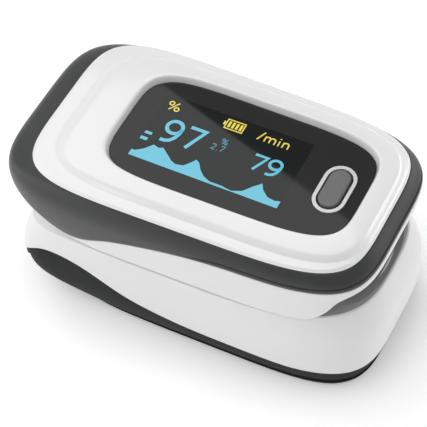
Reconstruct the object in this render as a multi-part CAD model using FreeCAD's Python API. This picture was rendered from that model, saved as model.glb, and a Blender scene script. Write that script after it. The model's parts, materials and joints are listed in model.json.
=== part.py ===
import FreeCAD, Part
import math
import os

from FreeCAD import Vector

# A fingertip pulse oximeter, in millimetres.
# The origin is the centre of the footprint on the table. +X points to the finger opening, +Z is up.
# The two halves are clamped together by torsion springs and pivot on a pin near the rear.

# ---------------------------------------------------------------- driving dimensions
# Both casings are lofts through level outlines. Each level holds: height, rear x, front x,
# half width at the rear, half width at the front, corner power at the rear, corner power at the front.
UPPER_LEVELS = [
    (18.70, -24.95, 25.80, 14.45, 13.10, 4.6, 4.2),
    (21.00, -27.00, 26.20, 14.75, 13.30, 4.6, 4.2),
    (23.00, -27.50, 26.50, 14.80, 13.45, 4.6, 4.3),
    (25.00, -27.60, 26.75, 14.80, 13.50, 4.5, 4.4),
    (27.20, -27.15, 26.95, 14.50, 13.55, 4.6, 4.7),
    (28.50, -25.85, 26.45, 14.05, 13.15, 4.7, 4.8),
    (29.65, -22.75, 25.50, 13.50, 12.35, 5.0, 4.8),
]
LOWER_LEVELS = [
    (0.00, -14.00, 24.30, 12.60, 11.50, 5.0, 4.4),
    (1.20, -20.60, 25.20, 13.35, 12.30, 5.2, 4.4),
    (3.00, -24.60, 25.80, 14.00, 12.85, 6.4, 4.3),
    (5.00, -26.90, 26.30, 14.35, 13.20, 8.5, 4.2),
    (8.00, -27.65, 26.90, 14.55, 13.35, 10.0, 4.1),
    (11.00, -27.40, 27.25, 14.55, 13.40, 8.5, 3.9),
    (14.50, -26.40, 27.50, 14.50, 13.45, 6.2, 3.5),
    (16.50, -25.60, 27.05, 14.45, 13.40, 5.2, 3.3),
    (18.70, -24.95, 26.00, 14.45, 13.25, 4.6, 3.2),
]
COVER_EDGE = (29.70, -22.70, 25.50, 13.45, 12.30, 5.0, 4.8)
COVER_LIP = (30.15, -22.45, 25.35, 13.25, 12.15, 5.0, 4.8)
COVER_CREASE = (30.45, -19.75, 25.10, 11.75, 11.15, 4.8, 4.8)
COVER_RIM = (31.95, -12.70, 22.35, 8.90, 8.40, 4.8, 4.8)
WINDOW_EDGE = (31.00, -12.35, 21.95, 8.55, 8.05, 4.8, 4.8)

# Side curves, as (x, z) points: where one piece's visible edge meets the next one's.
BAND_EDGE = [(-29.5, 27.6), (-23.0, 23.7), (-19.0, 21.2), (-16.6, 20.0), (-14.6, 20.0), (-10.0, 22.15),
             (-6.0, 23.7), (-1.8, 24.9), (4.3, 26.2), (10.0, 26.75), (16.0, 26.8), (29.5, 27.2)]
SQUEEZE_TOP = [(-29.5, 27.2), (-23.0, 23.3), (-19.0, 20.9), (-15.5, 19.5), (-12.0, 18.87)]
SQUEEZE_BOTTOM = [(-29.5, 15.1), (-24.0, 16.1), (-19.5, 17.3), (-16.0, 18.15), (-12.0, 18.5)]
BASE_EDGE = [(-29.5, 7.0), (-26.2, 9.4), (-23.0, 11.9), (-18.7, 13.05), (-15.2, 12.2), (-10.0, 9.0), (-5.0, 7.1),
             (1.0, 6.1), (8.0, 5.8), (16.0, 5.2)]

WALL = 1.2
SPLIT_TOP = 18.85
SPLIT_BOTTOM = 18.50
SEAM = 0.06
FIT = 0.05
REACH = 20.0

PIVOT = Vector(-13.55, 0.0, 18.70)
PIN_R = 0.75
PIN_CLEARANCE = 0.03
PIN_HALF = 12.3
LUG_R = 2.3
NECK_HALF = 1.6
LUG_ROOM_X = (-16.5, -10.5)
UPPER_LUG_Y = (10.9, 12.55)
LOWER_LUG_Y = (9.0, 10.6)

UPPER_DECK = (25.0, 25.8)
LOWER_DECK = (14.4, 15.2)
LINER_TOP = 26.4
BOARD_Z = (27.4, 28.2)
BOARD_X = (-16.5, 22.0)
BOARD_HALF = 10.6
DISPLAY_X = 1.85
DISPLAY_SIZE = (25.2, 16.4, 1.15)
DISPLAY_TOP = 29.90
WINDOW_Z = (30.40, 31.00)
LEDGE_Z = 30.30
LEDGE = 1.0
UNDERCUT_Z = 29.95

BUTTON_X = 18.13
BUTTON_STRAIGHT = 3.12
BUTTON_R = 1.42
BUTTON_TOP = 31.55
BUTTON_FOOT = 29.35
RING_R = 2.17
RING_BORE = 1.70
RING_TOP = 31.22
SWITCH_TOP = 28.95

CELL_R = 5.25
CELL_LENGTH = 44.5
CELL_NUB = 0.8
CELL_Y = 5.32
CELL_Z = 9.1
NUB_R = 1.9
DIMPLE_R = 1.6
CONTACT_Z = (6.2, 12.8)
REAR_CONTACT_HALF = 8.6
FRONT_CONTACT_Y = 4.6
FRONT_CONTACT_HALF = 3.0
BAY_X = (-24.45, 23.25)
PLATE = 0.3
DIMPLE = 0.7
SPRING_LENGTH = BAY_X[1] - BAY_X[0] - 2 * PLATE - DIMPLE - CELL_LENGTH

SCREW_SEAT = 3.6
SCREW_HEAD_R = 0.95
SCREW_HEAD_DEPTH = 0.6
SCREW_SHANK_R = 0.44
SCREW_HOLE_R = 0.55
CASE_SCREW_PLACE = (-15.5, 11.65)
BOARD_POST_PLACE = (13.5, 9.0)
BOARD_POST_R = 1.5
BAY_END = 0.9
BAY_END_LOW = 6.7
BAY_END_HALF = (9.2, 7.6)
DOOR_REAR = -11.0
DOOR_HALF = 9.7
DOOR_GAP = 0.25
DOOR_THICK = 1.2
RAIL_FRONT = 23.8
RAIL_Y = (9.9, 11.7)
RAIL_Z = (0.2, 2.2)
GRIP_START = -7.0
GRIP_PITCH = 1.6
GRIP_COUNT = 5
GRIP_WIDTH = 0.7
GRIP_HALF = 6.0
GRIP_DEPTH = 0.3
BASE_FLOOR = 0.8
TONGUE = 0.7
TONGUE_Z = (0.5, 0.9)

SENSOR_X = 5.0
SENSOR_WINDOW_R = 3.0
SENSOR_HOLE_R = SENSOR_WINDOW_R + FIT
EMITTER_HOLE_R = 2.0
FLEX_SLOT_X = (-12.6, -10.0)
FLEX_SLOT_HALF = 2.2
FLEX_X = -11.2
FLEX_HALF = 1.6
FLEX_THICK = 0.12
# The finger space: x, half width, and its reach above or below the mid height.
TUNNEL_Z = 19.9
TUNNEL_ABOVE = [(-8.0, 7.0, 3.3), (8.0, 8.2, 3.9), (18.0, 8.6, 4.1), (23.5, 9.3, 4.3), (28.0, 11.0, 5.0)]
TUNNEL_BELOW = [(-8.0, 7.0, 3.3), (8.0, 8.2, 3.9), (16.0, 8.6, 3.6), (21.5, 9.1, 2.3), (24.5, 9.8, 1.5),
                (28.0, 10.4, 1.4)]
# The arch over the mouth: half width and height, how square it is, and how its foot flares out:
# the extra half width at the foot and the power with which it fades upwards.
ARCH = (11.45, 7.0)
ARCH_POWER = 6.0
ARCH_FLARE = (1.0, 4)
ARCH_STEPS = 36
ARCH_X = 18.0
ARCH_UNDER_DECK = 6.2
ARCH_FRONT_X = 24.4
MOUTH_LENGTH = 20.0
PAD_REAR = -9.5
PAD_TOP = 18.60
LIP_X = 19.6
LIP_CLEAR = 0.35
# The grey lip in the mouth: heights, each with how far in from the shell's edge.
LIP_RINGS = [(18.52, 0.15), (18.80, 0.60), (19.05, 1.50), (19.30, 3.00)]

PARTS = "parts"


# ---------------------------------------------------------------- shape helpers
def outline(level, inset=0.0, steps=40):
    """Closed wire of one level: a superellipse that is wider and squarer at one end than the other."""
    height, rear, front, half_rear, half_front, power_rear, power_front = level
    middle = (rear + front) / 2
    reach = (front - rear) / 2 - inset
    points = []
    for step in range(steps):
        angle = 2 * math.pi * step / steps
        along = math.cos(angle)
        across = math.sin(angle)
        power = power_rear if along < 0 else power_front
        radius = (abs(along) ** power + abs(across) ** power) ** (1 / power)
        share = 0.5 + 0.5 * along / radius
        half = half_rear + (half_front - half_rear) * share - inset
        points.append(Vector(middle + reach * along / radius, half * across / radius, height))
    curve = Part.BSplineCurve()
    curve.interpolate(points, PeriodicFlag=True)
    return Part.Wire([curve.toShape()])


def skin(levels, inset=0.0, lift=0.0):
    """Solid through the level outlines, each pulled in by inset and the whole moved up by lift."""
    body = Part.makeLoft([outline(level, inset) for level in levels], True, False)
    body.translate(Vector(0, 0, lift))
    return body


def at_height(level, height):
    return (height,) + tuple(level[1:])


def between(low, high, share, height):
    """A level part of the way from one outline to another."""
    mixed = [a + (b - a) * share for a, b in zip(low[1:], high[1:])]
    return (height,) + tuple(mixed)


def plate(level, z_low, z_high, inset=0.0):
    """Flat plate with a level's outline."""
    face = Part.Face(outline(at_height(level, z_low), inset))
    return face.extrude(Vector(0, 0, z_high - z_low))


def box(x_low, x_high, y_low, y_high, z_low, z_high):
    return Part.makeBox(x_high - x_low, y_high - y_low, z_high - z_low, Vector(x_low, y_low, z_low))


def pair(shape):
    """The shape and its mirror image across the XZ plane."""
    return [shape, shape.mirror(Vector(0, 0, 0), Vector(0, 1, 0))]


def slab(z_low, z_high):
    return box(-40, 40, -REACH, REACH, z_low, z_high)


def side_region(points, close_z, flat_to=None):
    """Everything between a side curve and the height close_z, across the whole width."""
    curve = Part.BSplineCurve()
    curve.interpolate([Vector(x, -REACH, z) for x, z in points])
    last = Vector(points[-1][0], -REACH, points[-1][1])
    edges = [curve.toShape()]
    corners = [last]
    if flat_to is not None:
        corners.append(Vector(flat_to, -REACH, points[-1][1]))
    corners.append(Vector(corners[-1].x, -REACH, close_z))
    corners.append(Vector(points[0][0], -REACH, close_z))
    corners.append(Vector(points[0][0], -REACH, points[0][1]))
    for start, end in zip(corners, corners[1:]):
        edges.append(Part.makeLine(start, end))
    return Part.Face(Part.Wire(edges)).extrude(Vector(0, 2 * REACH, 0))


def shifted(points, rise):
    return [(x, z + rise) for x, z in points]


def stadium(x, straight, radius, z_low, z_high):
    """Upright solid with a slot-shaped outline, long across the object."""
    half = straight / 2
    start = Vector(x + radius, -half, z_low)
    right = Vector(x + radius, half, z_low)
    left = Vector(x - radius, half, z_low)
    back = Vector(x - radius, -half, z_low)
    edges = [
        Part.makeLine(start, right),
        Part.Arc(right, Vector(x, half + radius, z_low), left).toShape(),
        Part.makeLine(left, back),
        Part.Arc(back, Vector(x, -half - radius, z_low), start).toShape(),
    ]
    return Part.Face(Part.Wire(edges)).extrude(Vector(0, 0, z_high - z_low))


def upright(x, y, radius, z_low, z_high):
    return Part.makeCylinder(radius, z_high - z_low, Vector(x, y, z_low), Vector(0, 0, 1))


def across(radius, y_low, y_high, centre=PIVOT):
    """Cylinder along Y about the pivot."""
    return Part.makeCylinder(radius, y_high - y_low, Vector(centre.x, y_low, centre.z), Vector(0, 1, 0))


def tunnel(sections):
    """The space that a fingertip fills, widening at the mouth."""
    wires = []
    for x, half_width, half_height in sections:
        centre = Vector(x, 0, TUNNEL_Z)
        side = Vector(x, half_width, TUNNEL_Z)
        top = Vector(x, 0, TUNNEL_Z + half_height)
        wires.append(Part.Wire([Part.Ellipse(side, top, centre).toShape()]))
    return Part.makeLoft(wires, True, False)


def mouth(start_x, half_width, height):
    """The arched opening through the front from start_x on, standing on the pivot's height."""
    flare, fade = ARCH_FLARE
    points = []
    for step in range(ARCH_STEPS + 1):
        angle = math.pi * step / ARCH_STEPS
        sideways = math.cos(angle)
        up = math.sin(angle)
        radius = (abs(sideways) ** ARCH_POWER + up ** ARCH_POWER) ** (1 / ARCH_POWER)
        rise = up / radius
        width = half_width + flare * (1 - rise) ** fade
        points.append(Vector(start_x, width * sideways / radius, PIVOT.z + height * rise))
    curve = Part.BSplineCurve()
    curve.interpolate(points)
    sill = Part.makeLine(points[-1], points[0])
    return Part.Face(Part.Wire([curve.toShape(), sill])).extrude(Vector(MOUTH_LENGTH, 0, 0))


def carve(shape, tools):
    """Cut the tools away one at a time, which keeps the curved walls sound."""
    for tool in tools:
        shape = shape.cut(tool)
    return shape


def grow(shape, additions):
    for addition in additions:
        shape = shape.fuse(addition)
    return shape


# ---------------------------------------------------------------- the casing's side curves as solids
ABOVE_BAND_EDGE = side_region(BAND_EDGE, 60.0)
BELOW_BAND_EDGE = side_region(shifted(BAND_EDGE, -SEAM), -20.0)
BELOW_SQUEEZE_TOP = side_region(SQUEEZE_TOP, -20.0)
BELOW_SQUEEZE_PLATE = side_region(shifted(SQUEEZE_TOP, WALL), -20.0)
ABOVE_SQUEEZE_BOTTOM = side_region(SQUEEZE_BOTTOM, 60.0)
ABOVE_SQUEEZE_PLATE = side_region(shifted(SQUEEZE_BOTTOM, -WALL), 60.0)
ABOVE_BASE_EDGE = side_region(BASE_EDGE, 60.0, flat_to=32.0)
BELOW_BASE_EDGE = side_region(shifted(BASE_EDGE, -SEAM), -20.0, flat_to=32.0)


# ---------------------------------------------------------------- upper half
def top_cover():
    """White cover: a thin outer lip, a crease, and a raised bezel round the window recess."""
    lip = skin([COVER_EDGE, COVER_LIP, COVER_CREASE])
    bezel = skin([
        COVER_CREASE,
        between(COVER_CREASE, COVER_RIM, 0.10, 30.95),
        between(COVER_CREASE, COVER_RIM, 0.40, 31.60),
        between(COVER_CREASE, COVER_RIM, 0.78, 31.90),
        COVER_RIM,
    ])
    recess = skin([WINDOW_EDGE, at_height(COVER_RIM, COVER_RIM[0] + 0.01)])
    seat = plate(WINDOW_EDGE, LEDGE_Z, WINDOW_EDGE[0] + 0.01)
    opening = plate(WINDOW_EDGE, 29.0, 32.0, LEDGE)
    undercut = plate(COVER_CREASE, 29.0, UNDERCUT_Z, 0.8)
    return carve(lip.fuse(bezel), [recess, seat, opening, undercut])


def display_window():
    """Black window panel with the hole for the button's ring."""
    panel = plate(WINDOW_EDGE, WINDOW_Z[0], WINDOW_Z[1], FIT)
    return panel.cut(stadium(BUTTON_X, BUTTON_STRAIGHT, RING_R + 0.02, 29.0, 32.0))


def window_adhesive():
    """Adhesive frame between the window and the cover's ledge."""
    frame = plate(WINDOW_EDGE, LEDGE_Z, WINDOW_Z[0], 0.15)
    return frame.cut(plate(WINDOW_EDGE, 30.0, 31.0, LEDGE - 0.05))


def button_ring():
    """Bright ring round the button, with a flange under the window."""
    ring = stadium(BUTTON_X, BUTTON_STRAIGHT, RING_R, UNDERCUT_Z, RING_TOP)
    flange = stadium(BUTTON_X, BUTTON_STRAIGHT, RING_R + 0.4, UNDERCUT_Z, WINDOW_Z[0])
    bore = stadium(BUTTON_X, BUTTON_STRAIGHT, RING_BORE, 29.0, 32.0)
    return ring.fuse(flange).cut(bore).removeSplitter()


def power_button():
    """Oval button with a retaining flange under the ring."""
    cap = stadium(BUTTON_X, BUTTON_STRAIGHT, BUTTON_R, BUTTON_FOOT, BUTTON_TOP)
    top_edges = [edge for edge in cap.Edges if abs(edge.BoundBox.ZMin - BUTTON_TOP) < 0.01]
    cap = cap.makeFillet(0.3, top_edges)
    flange = stadium(BUTTON_X, BUTTON_STRAIGHT, RING_R, BUTTON_FOOT, BUTTON_FOOT + 0.35)
    return cap.fuse(flange).removeSplitter()


def switch_housing():
    """Tactile switch soldered to the board under the button."""
    body = box(BUTTON_X - 1.9, BUTTON_X + 1.9, -1.9, 1.9, BOARD_Z[1], SWITCH_TOP)
    return body.cut(upright(BUTTON_X, 0, 0.95, BOARD_Z[1] + 0.2, 31.0))


def switch_plunger():
    return upright(BUTTON_X, 0, 0.85, SWITCH_TOP - 0.15, BUTTON_FOOT)


def upper_band():
    """Dark mid frame: the outer wall of the upper half above the S-shaped edge, with a top flange."""
    wall = skin(UPPER_LEVELS).cut(skin(UPPER_LEVELS, WALL - 0.1, -0.8))
    band = wall.common(ABOVE_BAND_EDGE).cut(plate(COVER_EDGE, 28.0, 31.0, 2.4))
    groove_path = side_region(shifted(BAND_EDGE, 0.55), 60.0).cut(side_region(shifted(BAND_EDGE, 0.80), 60.0))
    groove = skin(UPPER_LEVELS).cut(skin(UPPER_LEVELS, 0.22)).common(groove_path)
    return band.cut(groove.common(box(4, 40, -REACH, REACH, 0, 40)))


def flex_slot(z_low, z_high):
    """Slot through a deck for the flex between the halves."""
    return box(FLEX_SLOT_X[0], FLEX_SLOT_X[1], -FLEX_SLOT_HALF, FLEX_SLOT_HALF, z_low, z_high)


def hinge_lug(y_low, y_high, direction):
    """Round lug about the pivot with a neck that rises (1) or falls (-1) to its deck."""
    low, high = (PIVOT.z, UPPER_DECK[1]) if direction > 0 else (LOWER_DECK[0], PIVOT.z)
    neck = box(PIVOT.x - NECK_HALF, PIVOT.x + NECK_HALF, y_low, y_high, low, high)
    return across(LUG_R, y_low, y_high).fuse(neck)


def board_post_places():
    far_x, far_y = BOARD_POST_PLACE
    return [(x, y) for x in (-far_x, far_x) for y in (-far_y, far_y)]


def upper_frame():
    """White inner frame: the skirt, a liner behind the band, the deck, hinge lugs and board posts."""
    skirt = skin(UPPER_LEVELS).common(BELOW_BAND_EDGE)
    liner = skin(UPPER_LEVELS, WALL, -0.8).common(slab(0, LINER_TOP))
    hollow = skin(UPPER_LEVELS, WALL + 1.0, -0.8)
    over_deck = hollow.common(slab(UPPER_DECK[1], 40))
    under_deck = hollow.common(slab(0, UPPER_DECK[0])).cut(BELOW_SQUEEZE_PLATE)
    frame = skirt.fuse(liner).common(slab(SPLIT_TOP, 40))
    frame = carve(frame, [over_deck, under_deck, BELOW_SQUEEZE_TOP])
    posts = [upright(x, y, BOARD_POST_R, UPPER_DECK[0] + 0.4, BOARD_Z[0]) for x, y in board_post_places()]
    room = LOWER_LUG_Y[1] + 0.25
    frame = frame.cut(box(LUG_ROOM_X[0], LUG_ROOM_X[1], -room, room, 10, 24.0))
    frame = grow(frame, posts + pair(hinge_lug(UPPER_LUG_Y[0], UPPER_LUG_Y[1], 1)))
    cuts = [mouth(ARCH_X, ARCH[0], ARCH_UNDER_DECK), mouth(ARCH_FRONT_X, ARCH[0], ARCH[1])]
    cuts += [upright(SENSOR_X, 0, EMITTER_HOLE_R, 24, 27), flex_slot(24, 27)]
    cuts.append(across(PIN_R + PIN_CLEARANCE, -PIN_HALF - 0.1, PIN_HALF + 0.1))
    cuts += [upright(x, y, SCREW_HOLE_R, UPPER_DECK[1] - 0.5, 29) for x, y in board_post_places()]
    return carve(frame, cuts)


def upper_finger_pad():
    """Silicone pad over the finger, hollowed by the finger space."""
    block = skin(UPPER_LEVELS, WALL + 1.0 + FIT, -0.8).common(box(PAD_REAR, 40, -REACH, REACH, 19.0, 24.95))
    cuts = [tunnel(TUNNEL_ABOVE), upright(SENSOR_X, 0, SENSOR_HOLE_R, 22, 26)]
    cuts.append(box(LIP_X - 0.3, 40, -REACH, REACH, 0, LIP_RINGS[-1][0] + 0.3))
    return carve(block, cuts)


def emitter_window():
    return upright(SENSOR_X, 0, SENSOR_WINDOW_R, 23.95, 24.35)


def emitter_leds():
    """Package with the red and the infrared emitter."""
    return box(SENSOR_X - 1.6, SENSOR_X + 1.6, -1.3, 1.3, 24.40, 24.95)


def main_board():
    """Circuit board on four posts."""
    level = (BOARD_Z[0], BOARD_X[0], BOARD_X[1], BOARD_HALF, BOARD_HALF - 0.4, 8.0, 8.0)
    board = plate(level, BOARD_Z[0], BOARD_Z[1])
    holes = [upright(x, y, 0.85, 27, 29) for x, y in board_post_places()]
    return board.cut(holes + [box(-12.4, -10.2, -2.2, 2.2, 27, 29)])


def display_module():
    """Display glass: a wide base glass and a shorter cover glass on it."""
    length, width, height = DISPLAY_SIZE
    low = DISPLAY_TOP - height
    base = box(DISPLAY_X - length / 2, DISPLAY_X + length / 2, -width / 2, width / 2, low, low + height / 2)
    glass = box(DISPLAY_X - length / 2 + 1.8, DISPLAY_X + length / 2, -width / 2, width / 2,
                low + height / 2, DISPLAY_TOP)
    return base.fuse(glass).removeSplitter()


def display_foam():
    length, width, height = DISPLAY_SIZE
    return box(DISPLAY_X - length / 2 + 2, DISPLAY_X + length / 2 - 2, -6, 6, BOARD_Z[1], DISPLAY_TOP - height)


def display_flex():
    """Flat tail from the display's short glass edge down to the board."""
    x = DISPLAY_X - DISPLAY_SIZE[0] / 2
    tail = box(x - 1.4, x, -4.0, 4.0, DISPLAY_TOP - DISPLAY_SIZE[2], DISPLAY_TOP - DISPLAY_SIZE[2] + 0.15)
    drop = box(x - 1.4, x - 1.25, -4.0, 4.0, BOARD_Z[1], DISPLAY_TOP - DISPLAY_SIZE[2])
    return tail.fuse(drop).removeSplitter()


def processor():
    return box(-5.5, 0.5, -3.0, 3.0, BOARD_Z[0] - 0.9, BOARD_Z[0])


def signal_chip():
    return box(9.5, 13.5, -2.0, 2.0, BOARD_Z[0] - 0.9, BOARD_Z[0])


def board_parts():
    """Capacitors, resistors and a crystal under the board, each a separate solid."""
    blocks = [box(3.5, 6.7, 4.0, 5.5, BOARD_Z[0] - 0.8, BOARD_Z[0])]
    for column in range(6):
        x = -9.0 + 3.2 * column
        for y in (-6.4, 6.9):
            blocks.append(box(x, x + 1.6, y, y + 0.8, BOARD_Z[0] - 0.7, BOARD_Z[0]))
    return Part.makeCompound(blocks)


def screw(x, y, head_z, length, direction):
    """Small cross-head screw; direction is the way the shank points along Z."""
    head = Part.makeCylinder(SCREW_HEAD_R, SCREW_HEAD_DEPTH, Vector(0, 0, 0), Vector(0, 0, -1))
    shank = Part.makeCylinder(SCREW_SHANK_R, length, Vector(0, 0, 0), Vector(0, 0, 1))
    cross = [box(-0.65, 0.65, -0.12, 0.12, -0.7, -0.25), box(-0.12, 0.12, -0.65, 0.65, -0.7, -0.25)]
    body = head.fuse(shank).cut(cross).removeSplitter()
    if direction < 0:
        body.rotate(Vector(0, 0, 0), Vector(1, 0, 0), 180)
    body.translate(Vector(x, y, head_z))
    return body


def board_screws():
    return Part.makeCompound([screw(x, y, BOARD_Z[1], 2.5, -1) for x, y in board_post_places()])


# ---------------------------------------------------------------- lower half
def case_screw_places():
    x, far_y = CASE_SCREW_PLACE
    return [(x, y) for y in (-far_y, far_y)]


def lower_shell():
    """White shell of the lower half: walls, finger deck, squeeze ledge, bay ends, lugs and bosses."""
    outer = skin(LOWER_LEVELS).common(ABOVE_BASE_EDGE)
    hollow = skin(LOWER_LEVELS, WALL, 1.0)
    under_deck = hollow.common(slab(-5, LOWER_DECK[0])).cut(ABOVE_SQUEEZE_PLATE)
    over_deck = hollow.common(slab(LOWER_DECK[1], 40)).cut(box(-40, -12.2, -REACH, REACH, 0, 40))
    rear_room = hollow.common(box(-40, -12.2, -REACH, REACH, LOWER_DECK[1], 40)).cut(ABOVE_SQUEEZE_PLATE)
    shell = carve(outer, [under_deck, over_deck, rear_room, ABOVE_SQUEEZE_BOTTOM, slab(SPLIT_BOTTOM, 40)])
    inner_room = LOWER_LUG_Y[0] - 0.1
    lug_rooms = [box(LUG_ROOM_X[0], LUG_ROOM_X[1], -inner_room, inner_room, 15.9, 24)]
    lug_rooms += pair(box(LUG_ROOM_X[0], LUG_ROOM_X[1], LOWER_LUG_Y[1] + 0.05, UPPER_LUG_Y[1] + 0.25, 15.9, 24))
    shell = carve(shell, lug_rooms)
    rear_half, front_half = BAY_END_HALF
    end_top = LOWER_DECK[0] + 0.4
    ends = [box(BAY_X[0] - BAY_END, BAY_X[0], -rear_half, rear_half, BAY_END_LOW, end_top),
            box(BAY_X[1], BAY_X[1] + BAY_END, -front_half, front_half, BAY_END_LOW, end_top)]
    bosses = [upright(x, y, 0.95, SCREW_SEAT + 2.4, end_top) for x, y in case_screw_places()]
    lugs = pair(hinge_lug(LOWER_LUG_Y[0], LOWER_LUG_Y[1], -1))
    shell = grow(shell, ends + bosses + lugs)
    cuts = [box(SENSOR_X - 4, SENSOR_X + 4, -3, 3, 14, 16), flex_slot(14, 16)]
    cuts += [upright(x, y, 0.47, 0, 11) for x, y in case_screw_places()]
    cuts.append(across(PIN_R + PIN_CLEARANCE, -PIN_HALF, PIN_HALF))
    return carve(shell, cuts)


def door_zone(gap):
    """The space that the door and its tongues take, grown by a gap at the sides."""
    middle = box(DOOR_REAR - gap, 40, -DOOR_HALF - gap, DOOR_HALF + gap, -1, DOOR_THICK + gap * 0.6)
    tongue_half = DOOR_HALF + TONGUE + gap
    tongues = box(DOOR_REAR + 1 - gap, 40, -tongue_half, tongue_half, TONGUE_Z[0] - gap * 0.6,
                  TONGUE_Z[1] + gap * 0.6)
    return middle.fuse(tongues)


def bottom_cover():
    """Dark base: a tray with a rising tail, rails for the door and two screw bosses."""
    outer = skin(LOWER_LEVELS).common(BELOW_BASE_EDGE)
    tray = outer.cut(skin(LOWER_LEVELS, 1.0, BASE_FLOOR))
    rail = box(DOOR_REAR - 2, RAIL_FRONT, RAIL_Y[0], RAIL_Y[1], RAIL_Z[0], RAIL_Z[1])
    rails = [side.common(outer) for side in pair(rail)]
    bosses = [upright(x, y, 1.7, 1.0, SCREW_SEAT + 2.3).common(outer) for x, y in case_screw_places()]
    tray = grow(tray, rails + bosses)
    step_region = side_region(shifted(BASE_EDGE, -1.0), -20.0, flat_to=32.0)
    step = skin(LOWER_LEVELS).cut(skin(LOWER_LEVELS, 0.2)).common(step_region).common(slab(1.6, 40))
    cuts = [door_zone(DOOR_GAP), step]
    cuts += [upright(x, y, 1.0, -1, SCREW_SEAT) for x, y in case_screw_places()]
    cuts += [upright(x, y, SCREW_HOLE_R, 0, 7) for x, y in case_screw_places()]
    return carve(tray, cuts)


def battery_door():
    """Sliding door with side tongues and a ribbed thumb grip."""
    door = door_zone(0.0).common(skin(LOWER_LEVELS))
    starts = [GRIP_START + GRIP_PITCH * step for step in range(GRIP_COUNT)]
    grip = [box(x, x + GRIP_WIDTH, -GRIP_HALF, GRIP_HALF, -1, GRIP_DEPTH) for x in starts]
    return door.cut(grip)


def case_screws():
    return Part.makeCompound([screw(x, y, SCREW_SEAT, 5.0, 1) for x, y in case_screw_places()])


def lower_finger_pad():
    """Silicone pad under the finger, with a lip that stands up in the mouth."""
    room = box(PAD_REAR, 40, -REACH, REACH, LOWER_DECK[1] + 0.02, PAD_TOP)
    block = skin(LOWER_LEVELS, WALL + FIT).common(room)
    rim = LOWER_LEVELS[-1]
    lip = Part.makeLoft([outline(at_height(rim, height), inset) for height, inset in LIP_RINGS], True, False)
    opening = mouth(ARCH_X, ARCH[0] - LIP_CLEAR, ARCH[1]).fuse(slab(10, SPLIT_TOP - 0.1))
    lip = lip.common(box(LIP_X, 40, -REACH, REACH, 0, 40)).common(opening)
    pad = block.fuse(lip)
    cuts = [tunnel(TUNNEL_BELOW), upright(SENSOR_X, 0, SENSOR_HOLE_R, 10, 19)]
    return carve(pad, cuts)


def detector_window():
    return upright(SENSOR_X, 0, SENSOR_WINDOW_R, 15.60, 15.90)


def photodetector():
    return box(SENSOR_X - 1.8, SENSOR_X + 1.8, -1.5, 1.5, LOWER_DECK[0] + 0.42, 15.50)


def sensor_board():
    return box(SENSOR_X - 3.9, SENSOR_X + 3.9, -2.9, 2.9, LOWER_DECK[0] + 0.02, LOWER_DECK[0] + 0.42)


def sensor_flex():
    """Flat flex between the sensor board and the main board, passing behind the finger stop."""
    low = LOWER_DECK[0] - 0.14
    run = box(FLEX_X, SENSOR_X - 2.5, -FLEX_HALF, FLEX_HALF, low, low + FLEX_THICK)
    rise = box(FLEX_X, FLEX_X + FLEX_THICK, -FLEX_HALF, FLEX_HALF, low, BOARD_Z[0] + 0.2)
    return run.fuse(rise).removeSplitter()


def cell(y, nub_front):
    """One AAA cell, with its nub towards the front or the rear."""
    body_length = CELL_LENGTH - CELL_NUB
    if nub_front:
        rear = BAY_X[1] - PLATE - DIMPLE - CELL_LENGTH
        start = Vector(rear, y, CELL_Z)
        heading = Vector(1, 0, 0)
    else:
        rear = BAY_X[0] + PLATE + DIMPLE + CELL_LENGTH
        start = Vector(rear, y, CELL_Z)
        heading = Vector(-1, 0, 0)
    body = Part.makeCylinder(CELL_R, body_length, start, heading)
    nub = Part.makeCylinder(NUB_R, CELL_NUB, start + heading * body_length, heading)
    return body.makeFillet(0.4, body.Edges).fuse(nub).removeSplitter()


def coil(radius, wire, length, turns):
    """Round-wire spring along +Z from the origin."""
    helix = Part.makeHelix(length / turns, length, radius)
    profile = Part.Wire([Part.Circle(Vector(radius, 0, 0), Vector(0, 1, 0), wire).toShape()])
    return Part.Wire(helix.Edges).makePipeShell([profile], True, True)


def contact_springs():
    """Negative contacts: a short coil spring against each cell's flat end."""
    wire = 0.25
    radius = 2.6
    springs = []
    for y, x, turn in ((CELL_Y, BAY_X[0] + PLATE, 90), (-CELL_Y, BAY_X[1] - PLATE, -90)):
        spring = coil(radius, wire, SPRING_LENGTH - 2 * wire - 0.05, 2)
        spring.translate(Vector(0, 0, wire))
        spring.rotate(Vector(0, 0, 0), Vector(0, 1, 0), turn)
        spring.translate(Vector(x, y, CELL_Z))
        springs.append(spring)
    return Part.makeCompound(springs)


def contact_plates():
    """Sheet contacts on the bay's ends, with a dimple for each positive nub."""
    low, high = CONTACT_Z
    rear_x = BAY_X[0] + PLATE
    rear = box(BAY_X[0], rear_x, -REAR_CONTACT_HALF, REAR_CONTACT_HALF, low, high)
    rear_dimple = Part.makeCylinder(DIMPLE_R, DIMPLE, Vector(rear_x, -CELL_Y, CELL_Z), Vector(1, 0, 0))
    front_x = BAY_X[1] - PLATE
    front = [box(front_x, BAY_X[1], y - FRONT_CONTACT_HALF, y + FRONT_CONTACT_HALF, low, high)
             for y in (-FRONT_CONTACT_Y, FRONT_CONTACT_Y)]
    front_dimple = Part.makeCylinder(DIMPLE_R, DIMPLE, Vector(front_x, CELL_Y, CELL_Z), Vector(-1, 0, 0))
    return Part.makeCompound([rear.fuse(rear_dimple), front[0], front[1].fuse(front_dimple)])


# ---------------------------------------------------------------- hinge
def hinge_pin():
    return across(PIN_R, -PIN_HALF, PIN_HALF)


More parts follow.
